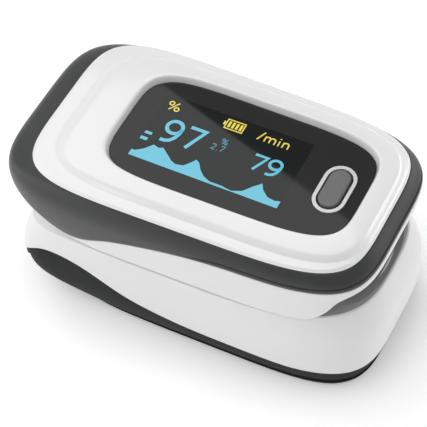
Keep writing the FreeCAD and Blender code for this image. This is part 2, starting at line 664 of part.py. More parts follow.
def torsion_spring():
    """Coil about the pin with one leg up to the upper deck and one down to the lower deck."""
    radius = 1.45
    wire = 0.25
    length = 2.4
    spring = coil(radius, wire, length, 4)
    up_leg = Part.makeCylinder(wire, 5.6, Vector(radius, 0, 0), Vector(0, -1, 0))
    down_leg = Part.makeCylinder(wire, 3.0, Vector(radius, 0, length), Vector(0, 1, 0))
    spring = spring.fuse([up_leg, down_leg])
    spring.rotate(Vector(0, 0, 0), Vector(1, 0, 0), -90)
    spring.translate(Vector(PIVOT.x, 5.6, PIVOT.z))
    return spring


def torsion_springs():
    return Part.makeCompound(pair(torsion_spring()))


# ---------------------------------------------------------------- write every piece
NODES = {
    "top_cover": top_cover,
    "display_window": display_window,
    "window_adhesive": window_adhesive,
    "button_ring": button_ring,
    "power_button": power_button,
    "switch_housing": switch_housing,
    "switch_plunger": switch_plunger,
    "upper_band": upper_band,
    "upper_frame": upper_frame,
    "upper_finger_pad": upper_finger_pad,
    "emitter_window": emitter_window,
    "emitter_leds": emitter_leds,
    "main_board": main_board,
    "display_module": display_module,
    "display_foam": display_foam,
    "display_flex": display_flex,
    "processor": processor,
    "signal_chip": signal_chip,
    "board_parts": board_parts,
    "board_screws": board_screws,
    "lower_shell": lower_shell,
    "bottom_cover": bottom_cover,
    "battery_door": battery_door,
    "case_screws": case_screws,
    "lower_finger_pad": lower_finger_pad,
    "detector_window": detector_window,
    "photodetector": photodetector,
    "sensor_board": sensor_board,
    "sensor_flex": sensor_flex,
    "cell_a": lambda: cell(CELL_Y, True),
    "cell_b": lambda: cell(-CELL_Y, False),
    "contact_springs": contact_springs,
    "contact_plates": contact_plates,
    "hinge_pin": hinge_pin,
    "torsion_springs": torsion_springs,
}


def main():
    os.makedirs(PARTS, exist_ok=True)
    for name, make in NODES.items():
        shape = make()
        if len(shape.Solids) == 1:
            shape = shape.Solids[0]
        shape.exportStep(os.path.join(PARTS, name + ".step"))
        bounds = shape.optimalBoundingBox()
        print("%-18s solids %2d valid %s volume %9.2f  x %.2f..%.2f y %.2f..%.2f z %.2f..%.2f" % (
            name, len(shape.Solids), shape.isValid(), shape.Volume, bounds.XMin, bounds.XMax,
            bounds.YMin, bounds.YMax, bounds.ZMin, bounds.ZMax))


main()
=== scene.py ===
import json
import math

import bmesh
import bpy
import numpy as np
from mathutils import Matrix, Vector


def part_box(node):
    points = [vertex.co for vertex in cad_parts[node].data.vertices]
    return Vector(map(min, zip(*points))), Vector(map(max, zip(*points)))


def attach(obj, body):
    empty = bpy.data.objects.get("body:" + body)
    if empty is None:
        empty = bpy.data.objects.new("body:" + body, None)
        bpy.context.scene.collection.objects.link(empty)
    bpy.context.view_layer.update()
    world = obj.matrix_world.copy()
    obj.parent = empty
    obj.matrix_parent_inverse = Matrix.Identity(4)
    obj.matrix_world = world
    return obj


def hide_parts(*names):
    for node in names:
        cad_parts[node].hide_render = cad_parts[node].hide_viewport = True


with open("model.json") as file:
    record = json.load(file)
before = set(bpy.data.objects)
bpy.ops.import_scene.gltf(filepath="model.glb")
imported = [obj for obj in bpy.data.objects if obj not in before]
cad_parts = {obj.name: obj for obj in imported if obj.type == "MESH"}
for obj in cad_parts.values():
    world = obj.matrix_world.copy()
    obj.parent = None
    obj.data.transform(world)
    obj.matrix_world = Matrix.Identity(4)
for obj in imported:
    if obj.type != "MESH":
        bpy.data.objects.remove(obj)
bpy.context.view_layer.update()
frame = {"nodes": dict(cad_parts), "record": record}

MM = 0.001
NODES = frame["nodes"]
WINDOW_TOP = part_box("display_window")[1].z
DISPLAY_LOW, DISPLAY_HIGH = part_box("display_module")
SCREEN_CENTRE = (DISPLAY_LOW + DISPLAY_HIGH) * 0.5
SCREEN_SIZE = (21.744 * MM, 10.864 * MM)      # lit area of a 0.96 inch display


# ---------------------------------------------------------------- materials
BROAD_SCALE = 90.0                            # patches of colour and polish, per metre of object space
BROAD_DETAIL = 5.0
FINE_DETAIL = 4.0
NOISE_LOW, NOISE_HIGH = 0.3, 0.7              # the part of a noise's range that spans the full effect
COAT_ROUGHNESS = 0.08
GRAIN_DISTANCE = 0.0001
SMOOTHEST = 0.02
UNLIT_SHARE = 0.2                             # a lit sign's surface colour as a share of its light


def node(tree, kind, **settings):
    made = tree.nodes.new(kind)
    for name, value in settings.items():
        setattr(made, name, value)
    return made


def moulded(name, colour, rough, grain=3500.0, grain_depth=0.02, mottle=0.03, rough_spread=0.06, coat=0.0,
            metallic=0.0, specular=0.5, stretch=(1.0, 1.0, 1.0)):
    """A surface with fine moulded grain, faint colour variation and uneven polish."""
    made = bpy.data.materials.new(name)
    made.use_nodes = True
    tree = made.node_tree
    shader = tree.nodes["Principled BSDF"]
    shader.inputs["Metallic"].default_value = metallic
    shader.inputs["Specular IOR Level"].default_value = specular
    shader.inputs["Coat Weight"].default_value = coat
    shader.inputs["Coat Roughness"].default_value = COAT_ROUGHNESS

    place = node(tree, "ShaderNodeTexCoord")
    mapping = node(tree, "ShaderNodeMapping")
    mapping.inputs["Scale"].default_value = stretch
    tree.links.new(place.outputs["Object"], mapping.inputs["Vector"])

    broad = node(tree, "ShaderNodeTexNoise")
    broad.inputs["Scale"].default_value = BROAD_SCALE
    broad.inputs["Detail"].default_value = BROAD_DETAIL
    fine = node(tree, "ShaderNodeTexNoise")
    fine.inputs["Scale"].default_value = grain
    fine.inputs["Detail"].default_value = FINE_DETAIL
    for texture in (broad, fine):
        tree.links.new(mapping.outputs["Vector"], texture.inputs["Vector"])

    ramp = node(tree, "ShaderNodeValToRGB")
    low, high = ramp.color_ramp.elements
    low.position, high.position = NOISE_LOW, NOISE_HIGH
    low.color = [c * (1.0 - mottle) for c in colour] + [1.0]
    high.color = [min(1.0, c * (1.0 + mottle)) for c in colour] + [1.0]
    tree.links.new(broad.outputs["Fac"], ramp.inputs["Fac"])
    tree.links.new(ramp.outputs["Color"], shader.inputs["Base Color"])

    polish = node(tree, "ShaderNodeMapRange")
    polish.inputs["From Min"].default_value = NOISE_LOW
    polish.inputs["From Max"].default_value = NOISE_HIGH
    polish.inputs["To Min"].default_value = max(SMOOTHEST, rough - rough_spread)
    polish.inputs["To Max"].default_value = min(1.0, rough + rough_spread)
    tree.links.new(broad.outputs["Fac"], polish.inputs["Value"])
    tree.links.new(polish.outputs["Result"], shader.inputs["Roughness"])

    bump = node(tree, "ShaderNodeBump")
    bump.inputs["Strength"].default_value = grain_depth
    bump.inputs["Distance"].default_value = GRAIN_DISTANCE
    tree.links.new(fine.outputs["Fac"], bump.inputs["Height"])
    tree.links.new(bump.outputs["Normal"], shader.inputs["Normal"])
    return made


def glowing(name, colour, strength):
    """A lit pixel colour under the window's gloss."""
    unlit = [c * UNLIT_SHARE for c in colour]
    made = moulded(name, unlit, 0.12, grain_depth=0.0, mottle=0.05, coat=0.3)
    shader = made.node_tree.nodes["Principled BSDF"]
    shader.inputs["Emission Color"].default_value = (*colour, 1.0)
    shader.inputs["Emission Strength"].default_value = strength
    return made


# Every surface by its slot's name; what isn't given here is moulded()'s own.
SURFACES = {
    "white_gloss": dict(colour=(0.86, 0.86, 0.86), rough=0.20, grain_depth=0.01, mottle=0.006, coat=0.25,
                        specular=0.6),
    "white_shell": dict(colour=(0.84, 0.84, 0.84), rough=0.36, grain_depth=0.02, mottle=0.008,
                        rough_spread=0.05),
    "band_grey": dict(colour=(0.053, 0.054, 0.055), rough=0.36, grain_depth=0.08, mottle=0.05,
                      rough_spread=0.04, specular=0.22),
    "base_grey": dict(colour=(0.024, 0.025, 0.026), rough=0.55, grain_depth=0.15, mottle=0.06,
                      specular=0.06),
    "window_black": dict(colour=(0.029, 0.029, 0.029), rough=0.03, grain_depth=0.0, mottle=0.03,
                         rough_spread=0.01, specular=0.24),
    "bright_ring": dict(colour=(0.72, 0.72, 0.72), rough=0.36, grain=6000.0, grain_depth=0.03, mottle=0.03,
                        metallic=0.6),
    "button_grey": dict(colour=(0.150, 0.150, 0.150), rough=0.42, grain_depth=0.10, mottle=0.05),
    "silicone_grey": dict(colour=(0.290, 0.292, 0.294), rough=0.62, grain=2500.0, grain_depth=0.20,
                          mottle=0.06, specular=0.35),
    "clear_window": dict(colour=(0.45, 0.47, 0.50), rough=0.08, grain_depth=0.0, mottle=0.03),
    "led_package": dict(colour=(0.62, 0.60, 0.50), rough=0.20, grain_depth=0.02),
    "board_green": dict(colour=(0.020, 0.130, 0.055), rough=0.36, grain=1500.0, grain_depth=0.15,
                        mottle=0.12),
    "display_glass": dict(colour=(0.012, 0.012, 0.014), rough=0.06, grain_depth=0.0, rough_spread=0.02),
    "foam_black": dict(colour=(0.020, 0.020, 0.020), rough=0.90, grain=2200.0, grain_depth=0.8, mottle=0.20,
                       specular=0.2),
    "flex_amber": dict(colour=(0.45, 0.21, 0.045), rough=0.35, grain=1200.0, grain_depth=0.10, mottle=0.15),
    "chip_black": dict(colour=(0.018, 0.018, 0.020), rough=0.55, grain=6000.0, grain_depth=0.3,
                       mottle=0.10),
    "ceramic_parts": dict(colour=(0.42, 0.33, 0.23), rough=0.40, grain=4000.0, grain_depth=0.2,
                          mottle=0.15),
    "switch_black": dict(colour=(0.028, 0.028, 0.028), rough=0.50, grain_depth=0.2, mottle=0.08),
    "screw_steel": dict(colour=(0.56, 0.56, 0.57), rough=0.36, grain=5000.0, grain_depth=0.15, mottle=0.06,
                        metallic=1.0),
    "spring_steel": dict(colour=(0.60, 0.60, 0.58), rough=0.36, grain=5000.0, grain_depth=0.10, mottle=0.05,
                         metallic=1.0),
    "pin_steel": dict(colour=(0.60, 0.60, 0.61), rough=0.20, grain=3000.0, grain_depth=0.12, mottle=0.04,
                      metallic=1.0, stretch=(1.0, 0.05, 1.0)),
    "cell_jacket": dict(colour=(0.09, 0.11, 0.13), rough=0.36, grain=800.0, grain_depth=0.05, mottle=0.10,
                        coat=0.3),
}
LOOKS = {name: moulded(name, **settings) for name, settings in SURFACES.items()}
SLOT_OF = {row["node"]: row["material_slot"] for row in frame["record"]["subparts"]}
for name, part in NODES.items():
    part.data.materials.clear()
    part.data.materials.append(LOOKS[SLOT_OF[name]])


# ---------------------------------------------------------------- the casing's form, in millimetres
# A level is height, rear x, front x, half width (rear, front) and corner power (rear, front).
UPPER_LEVELS = [
    (18.70, -24.95, 25.80, 14.45, 13.10, 4.6, 4.2),
    (21.00, -27.00, 26.20, 14.75, 13.30, 4.6, 4.2),
    (23.00, -27.50, 26.50, 14.80, 13.45, 4.6, 4.3),
    (25.00, -27.60, 26.75, 14.80, 13.50, 4.5, 4.4),
    (27.20, -27.15, 26.95, 14.50, 13.55, 4.6, 4.7),
    (28.50, -25.85, 26.45, 14.05, 13.15, 4.7, 4.8),
    (29.65, -22.75, 25.50, 13.50, 12.35, 5.0, 4.8),
]
LOWER_LEVELS = [
    (0.00, -14.00, 24.30, 12.60, 11.50, 5.0, 4.4),
    (1.20, -20.60, 25.20, 13.35, 12.30, 5.2, 4.4),
    (3.00, -24.60, 25.80, 14.00, 12.85, 6.4, 4.3),
    (5.00, -26.90, 26.30, 14.35, 13.20, 8.5, 4.2),
    (8.00, -27.65, 26.90, 14.55, 13.35, 10.0, 4.1),
    (11.00, -27.40, 27.25, 14.55, 13.40, 8.5, 3.9),
    (14.50, -26.40, 27.50, 14.50, 13.45, 6.2, 3.5),
    (16.50, -25.60, 27.05, 14.45, 13.40, 5.2, 3.3),
    (18.70, -24.95, 26.00, 14.45, 13.25, 4.6, 3.2),
]
COVER_EDGE = (29.70, -22.70, 25.50, 13.45, 12.30, 5.0, 4.8)
COVER_LIP = (30.15, -22.45, 25.35, 13.25, 12.15, 5.0, 4.8)
COVER_CREASE = (30.45, -19.75, 25.10, 11.75, 11.15, 4.8, 4.8)
COVER_RIM = (31.95, -12.70, 22.35, 8.90, 8.40, 4.8, 4.8)
WINDOW_EDGE = (31.00, -12.35, 21.95, 8.55, 8.05, 4.8, 4.8)
# The bezel from the crease (0) to the rim (1), and its height there.
BEZEL_RISE = [(0.0, 30.45), (0.10, 30.95), (0.40, 31.60), (0.78, 31.90), (1.0, 31.95)]
BEZEL_LEVELS = 25
# How far each rounded corner reaches back and on, as shares of the way to its neighbours.
LIP_ROUND, CREASE_ROUND, RIM_ROUND = (0.45, 0.22), (0.10, 0.30), (0.6, 0.26)
RECESS_DEPTH = 0.55                           # the recess goes this far below the window's top
RECESS_FLOOR = 1.2                            # its floor runs this far out under the cover
COVER_WALL = 0.9

BAND_EDGE = [(-29.5, 27.6), (-23.0, 23.7), (-19.0, 21.2), (-16.6, 20.0), (-14.6, 20.0), (-10.0, 22.15),
             (-6.0, 23.7), (-1.8, 24.9), (4.3, 26.2), (10.0, 26.75), (16.0, 26.8), (29.5, 27.2)]
SQUEEZE_TOP = [(-29.5, 27.2), (-23.0, 23.3), (-19.0, 20.9), (-15.5, 19.5), (-12.0, 18.87)]
SQUEEZE_BOTTOM = [(-29.5, 15.1), (-24.0, 16.1), (-19.5, 17.3), (-16.0, 18.15), (-12.0, 18.5)]
BASE_EDGE = [(-29.5, 7.0), (-26.2, 9.4), (-23.0, 11.9), (-18.7, 13.05), (-15.2, 12.2), (-10.0, 9.0),
             (-5.0, 7.1), (1.0, 6.1), (8.0, 5.8), (16.0, 5.2)]

WALL = 1.2
SEAM = 0.06
SPLIT_TOP = 18.85
SPLIT_BOTTOM = 18.50
SQUEEZE_END_X = -12.0
PLATE_END_X = -16.6
PLATE_CLEARANCE = 0.02
PLATE_REAR_X = -24.0                          # where the search for a plate's rear edge starts
PLATE_GRID = (15, 25)                         # rows along, points across
UPPER_DECK = (25.0, 25.8)
LOWER_DECK = (14.4, 15.2)
ARCH = (11.45, 7.0)
ARCH_POWER = 6.0
ARCH_FLARE = (1.0, 4)                         # extra half width at the foot, and how fast it fades upwards
ARCH_POINTS = 73
ARCH_X = 18.0
PIVOT = (-13.55, 18.70)
LUG_R = 2.3
LUG_BORE = 0.78
LUG_STEPS = 64
NECK_HALF = 1.6
UPPER_LUG_Y = (10.9, 12.55)
LOWER_LUG_Y = (9.0, 10.6)
LUG_OVERLAP = 0.2                             # how far a lug's neck runs into its deck
DECK_OVERLAP = 0.05                           # how far a deck's edge stays inside the wall

BAND_TOP = 29.62
BAND_WALL = WALL - 0.1
BAND_ROUND = 0.14
EDGE_ROUND = 0.12
ROUND_LIMIT = 0.45                            # the most an edge's rounding takes of the wall's height
ROUND_STEPS = 5
INSIDE_ROWS = (0.0, 0.35, 0.7, 1.0)           # where the wall's inside has its rows, from the top down
GROOVE_DEPTH = 0.22
GROOVE_START_X = 2.0
GROOVE_FADE = 8.0
# The groove's section: rise above the band's lower edge, and the share of the full depth.
GROOVE = [(0.46, 0.0), (0.52, 0.35), (0.57, 1.0), (0.66, 1.0), (0.78, 0.35), (0.86, 0.0)]

STEPS = 480
CROWDING = 0.75                               # how much closer the points stand at the four corners
EVEN = np.linspace(0.0, 2.0 * math.pi, STEPS, endpoint=False)
ANGLES = EVEN + CROWDING * np.sin(4.0 * EVEN) / 4.0
DISC_STRIDE = 5                               # a deck's outline takes every fifth point
MEETING_ROUNDS = 60
SHARP_ANGLE = math.radians(32)
WELD = 1e-7


def smooth_curve(points):
    """Natural cubic spline through (position, value, value, ...) points, held at its ends' slopes outside."""
    table = np.array(points, float)
    x, y = table[:, 0], table[:, 1:]
    count = len(x)
    step = np.diff(x)
    system = np.eye(count)
    pull = np.zeros_like(y)
    for i in range(1, count - 1):
        system[i, i - 1:i + 2] = step[i - 1], 2.0 * (step[i - 1] + step[i]), step[i]
        pull[i] = 6.0 * ((y[i + 1] - y[i]) / step[i] - (y[i] - y[i - 1]) / step[i - 1])
    bend = np.linalg.solve(system, pull)

    def value(at):
        at = np.clip(np.atleast_1d(at), x[0], x[-1])
        i = np.clip(np.searchsorted(x, at) - 1, 0, count - 2)
        h = step[i][:, None]
        left = ((x[i + 1] - at)[:, None]) / h
        right = 1.0 - left
        curved = ((left ** 3 - left) * bend[i] + (right ** 3 - right) * bend[i + 1]) * h * h / 6.0
        made = left * y[i] + right * y[i + 1] + curved
        return made[:, 0] if made.shape[1] == 1 else made
    return value


UPPER = smooth_curve(UPPER_LEVELS)
LOWER = smooth_curve(LOWER_LEVELS)
band_edge = smooth_curve(BAND_EDGE)
base_edge = smooth_curve(BASE_EDGE)
squeeze_top = smooth_curve(SQUEEZE_TOP)
squeeze_bottom = smooth_curve(SQUEEZE_BOTTOM)


def outline(sizes, heights, inset=0.0, angles=ANGLES):
    """One closed row of points: the superellipse of these level sizes, pulled in by inset."""
    rear, front, half_rear, half_front, power_rear, power_front = np.broadcast_to(sizes, (len(angles), 6)).T
    along, across = np.cos(angles), np.sin(angles)
    power = np.where(along < 0, power_rear, power_front)
    radius = (np.abs(along) ** power + np.abs(across) ** power) ** (1.0 / power)
    reach = (front - rear) / 2.0 - inset
    half = half_rear + (half_front - half_rear) * (0.5 + 0.5 * along / radius) - inset
    x = (rear + front) / 2.0 + reach * along / radius
    return np.stack([x, half * across / radius, np.broadcast_to(heights, x.shape)], axis=1)


def wall_row(form, heights, inset=0.0, angles=ANGLES):
    return outline(form(heights * np.ones(len(angles))), heights, inset, angles)


def level_row(level, inset=0.0):
    return outline(level[1:], level[0], inset)


def meeting(form, side, start):
    """The height all round at which the wall meets a side curve."""
    heights = np.full(STEPS, float(start))
    for _ in range(MEETING_ROUNDS):
        heights = 0.5 * (heights + side(wall_row(form, heights)))
    return heights


def section(form, low, high, radius, wall=WALL, extra=(), rows=14):
    """Rows round a wall's section: up the outside with rounded edges, and down the inside.
    extra rows are (rise above the low edge, how far in)."""
    radius = np.minimum(radius, ROUND_LIMIT * (high - low))
    arcs = np.linspace(0.0, math.pi / 2.0, ROUND_STEPS)
    found = [wall_row(form, low + radius * (1 - math.sin(a)), radius * (1 - math.cos(a))) for a in arcs[::-1]]
    bottom = low + radius
    if len(extra):
        for rise, inward in extra:
            found.append(wall_row(form, low + rise, inward))
        bottom = low + extra[-1][0]
    for share in np.linspace(0.0, 1.0, rows + 1)[1:-1]:
        found.append(wall_row(form, bottom + (high - radius - bottom) * share))
    found += [wall_row(form, high - radius * (1 - math.sin(a)), radius * (1 - math.cos(a))) for a in arcs]
    found += [wall_row(form, high + (low - high) * share, wall) for share in INSIDE_ROWS]
    return found


def ring_faces(count, first, steps=STEPS):
    """Quads that join closed rows into a closed tube round the casing."""
    faces = []
    for i in range(count):
        a, b = first + i * steps, first + ((i + 1) % count) * steps
        for j in range(steps):
            k = (j + 1) % steps
            faces.append((a + j, a + k, b + k, b + j))
    return faces


class Build:
    """Gathers vertices and faces in millimetres and makes one piece of them."""

    def __init__(self):
        self.points, self.faces = [], []

    def ring(self, rows):
        self.faces += ring_faces(len(rows), len(self.points), len(rows[0]))
        for row in rows:
            self.points += [tuple(p) for p in row]

    def slab(self, top, bottom):
        """Closed solid between two grids of points, each a list of equal rows."""
        first = len(self.points)
        rows, columns = len(top), len(top[0])
        for grid in (top, bottom):
            for row in grid:
                self.points += [tuple(p) for p in row]
        under = rows * columns
        for i in range(rows - 1):
            for j in range(columns - 1):
                a = first + i * columns + j
                self.faces.append((a, a + columns, a + columns + 1, a + 1))
                a += under
                self.faces.append((a, a + 1, a + columns + 1, a + columns))
        rim = [(i, 0) for i in range(rows)] + [(rows - 1, j) for j in range(1, columns)]
        rim += [(i, columns - 1) for i in range(rows - 2, -1, -1)]
        rim += [(0, j) for j in range(columns - 2, 0, -1)]
        places = [first + i * columns + j for i, j in rim]
        for a, b in zip(places, places[1:] + places[:1]):
            self.faces.append((a, b, b + under, a + under))

    def disc(self, row, low, high):
        """Flat plate with this outline."""
        first, count = len(self.points), len(row)
        for height in (low, high):
            self.points += [(p[0], p[1], height) for p in row]
        self.faces.append(tuple(range(first + count - 1, first - 1, -1)))
        self.faces.append(tuple(range(first + count, first + 2 * count)))
        for j in range(count):
            k = (j + 1) % count
            self.faces.append((first + j, first + k, first + count + k, first + count + j))

    def piece(self, name, body, slot, look, *stands_for):
        mesh = bpy.data.meshes.new(name)
        mesh.from_pydata([(x * MM, y * MM, z * MM) for x, y, z in self.points], [], self.faces)
        build = bmesh.new()
        build.from_mesh(mesh)
        bmesh.ops.remove_doubles(build, verts=list(build.verts), dist=WELD)
        bmesh.ops.recalc_face_normals(build, faces=list(build.faces))
        build.to_mesh(mesh)
        build.free()
        mesh.shade_smooth()
        mesh.set_sharp_from_angle(angle=SHARP_ANGLE)
        mesh.materials.append(look)
        made = bpy.data.objects.new(name, mesh)
        bpy.context.scene.collection.objects.link(made)
        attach(made, body)
        if stands_for:
            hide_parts(*stands_for)
        return made


def blended(a, b, share):
    return tuple(p + (q - p) * share for p, q in zip(a, b))


def eased(before, corner, after, back, on, steps=6):
    """Levels that round the corner between two others."""
    start, end = blended(corner, before, back), blended(corner, after, on)
    found = []
    for share in np.linspace(0.0, 1.0, steps):
        found.append(blended(blended(start, corner, share), blended(corner, end, share), share))
    return found


def half_width(form, x, height, inset):
    rear, front, half_rear, half_front, power, _ = form(height)[0]
    reach = (front - rear) / 2.0 - inset
    share = np.clip((x - (rear + front) / 2.0) / reach, -1.0, 1.0)
    half = half_rear + (half_front - half_rear) * (0.5 + 0.5 * share) - inset
    return half * (1.0 - abs(share) ** power) ** (1.0 / power)


def squeeze_plate(build, form, side, thickness):
    """The sloping plate that a thumb or finger presses at the rear; thickness is up or down from its face."""
    rear = PLATE_REAR_X
    for _ in range(MEETING_ROUNDS):
        rear = 0.5 * (rear + form(side(rear))[0][0] + WALL)
    rear += PLATE_CLEARANCE
    face, back = [], []
    for share in np.linspace(0.0, 1.0, PLATE_GRID[0]):
        x = rear + (PLATE_END_X - rear) * share ** 2
        z = float(side(x)[0])
        width = half_width(form, x, z, WALL)
        columns = np.linspace(-1.0, 1.0, PLATE_GRID[1]) * width
        face.append([(x, y, z) for y in columns])
        back.append([(x, y, z + thickness) for y in columns])
    build.slab(face, back)


def lug(build, y_low, y_high, direction, reach):
    """Round lug with a bore about the pivot, and a neck towards its deck."""
    angles = np.linspace(0.0, 2.0 * math.pi, LUG_STEPS, endpoint=False)
    outer = []
    for angle in angles:
        across, up = math.cos(angle), math.sin(angle)
        far = LUG_R
        if up * direction > 0.0:
            far = max(far, min(NECK_HALF / max(abs(across), 1e-6), reach / abs(up)))
        outer.append((PIVOT[0] + far * across, PIVOT[1] + far * up))
    inner = [(PIVOT[0] + LUG_BORE * math.cos(a), PIVOT[1] + LUG_BORE * math.sin(a)) for a in angles]
    rows = [[(x, y, z) for x, z in edge] for edge, y in
            ((outer, y_low), (outer, y_high), (inner, y_high), (inner, y_low))]
    build.ring(rows)


# ---------------------------------------------------------------- the casing's visible pieces

def make_top_cover():
    build = Build()
    bezel_height = smooth_curve(BEZEL_RISE)
    bezel = [(float(bezel_height(share)[0]),) + blended(COVER_CREASE, COVER_RIM, share)[1:]
             for share in np.linspace(0.0, 1.0, BEZEL_LEVELS)]
    foot = (WINDOW_EDGE[0] - RECESS_DEPTH,) + WINDOW_EDGE[1:]
    levels = eased(blended(COVER_EDGE, COVER_LIP, -0.001), COVER_EDGE, COVER_LIP, 0.0, 0.2, 2)
    levels += eased(COVER_EDGE, COVER_LIP, COVER_CREASE, *LIP_ROUND)
    levels += eased(COVER_LIP, COVER_CREASE, bezel[3], *CREASE_ROUND)
    levels += bezel[4:-2]
    levels += eased(bezel[-3], COVER_RIM, WINDOW_EDGE, *RIM_ROUND)
    rows = [level_row(level) for level in levels]
    rows += [level_row(WINDOW_EDGE), level_row(foot), level_row(foot, -RECESS_FLOOR)]
    rows.append(level_row(COVER_EDGE, COVER_WALL))
    build.ring(rows)
    return build.piece("cover_shell", "upper_half", "white_gloss", LOOKS["white_gloss"], "top_cover")


def make_upper_band():
    build = Build()
    low = meeting(UPPER, lambda row: band_edge(row[:, 0]), 24.0)
    high = np.full(STEPS, BAND_TOP)
    x = wall_row(UPPER, low)[:, 0]
    fade = np.clip((x - GROOVE_START_X) / GROOVE_FADE, 0.0, 1.0)
    depth = GROOVE_DEPTH * fade * fade * (3.0 - 2.0 * fade)
    groove = [(rise, share * depth) for rise, share in GROOVE]
    build.ring(section(UPPER, low, high, BAND_ROUND, BAND_WALL, groove, rows=18))
    return build.piece("band_shell", "upper_half", "band_grey", LOOKS["band_grey"], "upper_band")


def arch_line():
    """The arch over the mouth: half widths from the middle outwards, and the height of each."""
    turn = np.linspace(math.pi / 2.0, 0.0, ARCH_POINTS)
    radius = (np.cos(turn) ** ARCH_POWER + np.sin(turn) ** ARCH_POWER) ** (1.0 / ARCH_POWER)
    rise = np.sin(turn) / radius
    flare, fade = ARCH_FLARE
    width = ARCH[0] + flare * (1.0 - rise) ** fade
    return width * np.cos(turn) / radius, PIVOT[1] + ARCH[1] * rise


def upper_low_edge(row):
    """The upper frame's lower edge: the split, the rear squeeze face and the arch of the finger opening."""
    x, y = row[:, 0], row[:, 1]
    low = np.where(x < SQUEEZE_END_X, np.maximum(squeeze_top(x), SPLIT_TOP), SPLIT_TOP)
    arch = np.interp(np.abs(y), *arch_line())
    return np.where(x > ARCH_X, np.maximum(low, arch), low)


def make_upper_frame():
    build = Build()
    low = meeting(UPPER, upper_low_edge, 19.0)
    high = meeting(UPPER, lambda row: band_edge(row[:, 0]), 24.0) - SEAM
    build.ring(section(UPPER, low, high, EDGE_ROUND))
    squeeze_plate(build, UPPER, squeeze_top, WALL)
    build.disc(wall_row(UPPER, UPPER_DECK[0], WALL + DECK_OVERLAP, ANGLES[::DISC_STRIDE]), *UPPER_DECK)
    inner, outer = UPPER_LUG_Y
    for side in (1.0, -1.0):
        lug(build, side * inner, side * outer, 1, UPPER_DECK[0] + LUG_OVERLAP - PIVOT[1])
    return build.piece("frame_shell", "upper_half", "white_shell", LOOKS["white_shell"], "upper_frame")


def lower_high_edge(row):
    x = row[:, 0]
    return np.where(x < SQUEEZE_END_X, np.minimum(squeeze_bottom(x), SPLIT_BOTTOM), SPLIT_BOTTOM)


def make_lower_shell():
    build = Build()
    low = meeting(LOWER, lambda row: base_edge(row[:, 0]), 5.0)
    high = meeting(LOWER, lower_high_edge, 18.0)
    build.ring(section(LOWER, low, high, EDGE_ROUND, rows=24))
    squeeze_plate(build, LOWER, squeeze_bottom, -WALL)
    build.disc(wall_row(LOWER, LOWER_DECK[0], WALL + DECK_OVERLAP, ANGLES[::DISC_STRIDE]), *LOWER_DECK)
    inner, outer = LOWER_LUG_Y
    for side in (1.0, -1.0):
        lug(build, side * inner, side * outer, -1, PIVOT[1] - LOWER_DECK[1] + LUG_OVERLAP)
    return build.piece("lower_casing", "lower_half", "white_shell", LOOKS["white_shell"], "lower_shell")


make_top_cover()
make_upper_band()
make_upper_frame()
make_lower_shell()


# ---------------------------------------------------------------- what the display shows

LIT_CYAN = glowing("lit_cyan", (0.13, 0.56, 0.73), 0.74)
DIM_CYAN = glowing("dim_cyan", (0.06, 0.26, 0.33), 0.80)
LIT_YELLOW = glowing("lit_yellow", (0.86, 0.72, 0.10), 0.78)
SCREEN_DARK = moulded("screen_dark", (0.014, 0.016, 0.016), 0.03, grain_depth=0.0, mottle=0.03,
                      rough_spread=0.01, specular=0.30)

SCREEN_LIFT = 8e-6                            # metres above the window
SIGN_LIFT = 30e-6
PLATE_SHARE = 0.1                             # a plate's thickness as a share of its lift
THICK, MEDIUM, THIN, FINE = 0.048, 0.036, 0.018, 0.014      # stroke widths, shares of the lit height
SMALL_TALL = 0.085
BATTERY_LINE = 0.016
BATTERY_BARS = 4
BAR_PITCH, BAR_WIDE, BAR_IN, BAR_DOWN = 0.026, 0.016, 0.014, 0.022
MITRE_LIMIT = 0.6
ROUND = np.linspace(0.0, 2.0 * math.pi, 33)
# Strokes of each sign in a box one wide and one tall, from its upper left corner.
BOWL_9 = [(0.50 + 0.42 * math.cos(a), 0.31 + 0.27 * math.sin(a)) for a in ROUND]
TAIL_9 = [(0.92, 0.31), (0.90, 0.52), (0.80, 0.73), (0.62, 0.89), (0.38, 0.96), (0.12, 0.96)]
SIGNS = {
    "9": [BOWL_9, TAIL_9],
    "7": [[(0.06, 0.04), (0.94, 0.04), (0.36, 0.97)]],
    "2": [[(0.10, 0.24), (0.24, 0.07), (0.52, 0.03), (0.80, 0.10), (0.88, 0.30), (0.70, 0.53), (0.10, 0.95),
           (0.95, 0.95)]],
    ".": [[(0.40, 0.94), (0.60, 0.94)]],
    "/": [[(0.85, 0.0), (0.15, 1.0)]],
    "%": [[(0.80, 0.0), (0.20, 1.0)],
          [(0.20 + 0.18 * math.cos(a), 0.24 + 0.21 * math.sin(a)) for a in ROUND],
          [(0.80 + 0.18 * math.cos(a), 0.76 + 0.21 * math.sin(a)) for a in ROUND]],
    "m": [[(0.05, 0.38), (0.05, 1.0)],
          [(0.05, 0.52), (0.18, 0.40), (0.36, 0.39), (0.48, 0.52), (0.48, 1.0)],
          [(0.48, 0.52), (0.62, 0.40), (0.80, 0.39), (0.93, 0.52), (0.93, 1.0)]],
    "i": [[(0.50, 0.40), (0.50, 1.0)], [(0.50, 0.10), (0.50, 0.22)]],
    "n": [[(0.12, 0.38), (0.12, 1.0)],
          [(0.12, 0.54), (0.30, 0.40), (0.62, 0.39), (0.82, 0.54), (0.82, 1.0)]],
}
